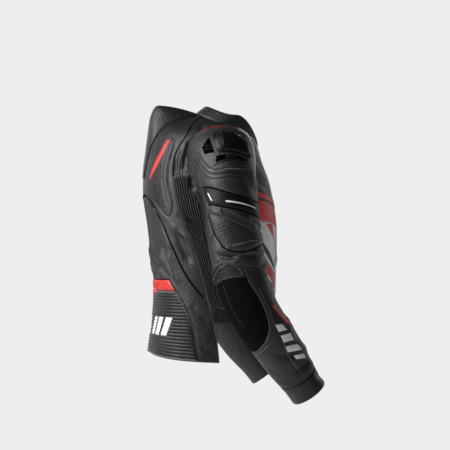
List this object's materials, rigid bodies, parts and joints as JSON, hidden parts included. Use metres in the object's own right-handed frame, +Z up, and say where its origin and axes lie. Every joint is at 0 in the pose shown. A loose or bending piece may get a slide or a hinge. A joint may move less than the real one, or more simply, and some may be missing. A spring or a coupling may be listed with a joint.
{
  "type": "leather motorcycle jacket",
  "caption": "Short-front leather motorcycle jacket in its worn form: aero hump, ribbed stretch panels, shoulder sliders, bent sleeves and a front zip.",
  "frame": {"origin": "middle of the neck opening, where the wearer's neck and shoulders hold the jacket up", "axes": "+Z up, -Y the way the wearer faces, -X the wearer's right arm"},
  "size_m": [0.634, 0.3848, 0.6915],
  "materials": {
    "leather_black": "satin black cowhide",
    "leather_gloss": "glossy black coated leather",
    "leather_red": "satin red leather",
    "leather_grey": "satin light grey leather",
    "stretch": "matt black ribbed stretch leather and cloth",
    "suede": "matt black suede",
    "tape": "woven black zip tape",
    "hard_plastic": "glossy black moulded plastic",
    "zip_metal": "dark satin metal"
  },
  "bodies": {
    "jacket": {"arm_band_l": "leather_gloss", "arm_band_r": "leather_gloss", "arm_fold_l": "leather_black", "arm_fold_r": "leather_black", "arm_lower_l": "leather_black", "arm_lower_r": "leather_black", "arm_panel_l": "leather_black", "arm_panel_r": "leather_black", "back_band": "leather_red", "back_panel": "leather_black", "chest_l": "leather_black", "chest_r": "leather_black", "collar": "leather_black", "collar_tape": "tape", "cuff_l": "leather_black", "cuff_r": "leather_black", "elbow_patch_l": "suede", "elbow_patch_r": "suede", "elbow_stretch_l": "stretch", "elbow_stretch_r": "stretch", "forearm_inner_l": "leather_black", "forearm_inner_r": "leather_black", "forearm_outer_l": "leather_black", "forearm_outer_r": "leather_black", "front_hem_l": "leather_black", "front_hem_r": "leather_black", "front_panel_l": "leather_grey", "front_panel_r": "leather_grey", "front_stripe_l": "leather_red", "front_stripe_r": "leather_red", "hump": "leather_black", "kidney_panel": "stretch", "shoulder_cap_l": "leather_black", "shoulder_cap_r": "leather_black", "side_stretch_l": "stretch", "side_stretch_r": "stretch", "slider_base_l": "leather_black", "slider_base_r": "leather_black", "slider_plate_l": "hard_plastic", "slider_plate_r": "hard_plastic", "under_sleeve_l": "leather_black", "under_sleeve_r": "leather_black", "waist_side_l": "leather_black", "waist_side_r": "leather_black", "yoke_l": "leather_black", "yoke_r": "leather_black", "zip_slider": "zip_metal", "zip_tape": "tape"},
    "zip_pull": {"zip_pull": "zip_metal"}
  },
  "joints": [
    {"name": "zip_pull_hinge", "type": "hinge", "parent": "jacket", "child": "zip_pull", "pos_m": [0, -0.08204, -0.03473], "axis": [-1, 0, 0], "range_deg": [-15, 150]}
  ]
}
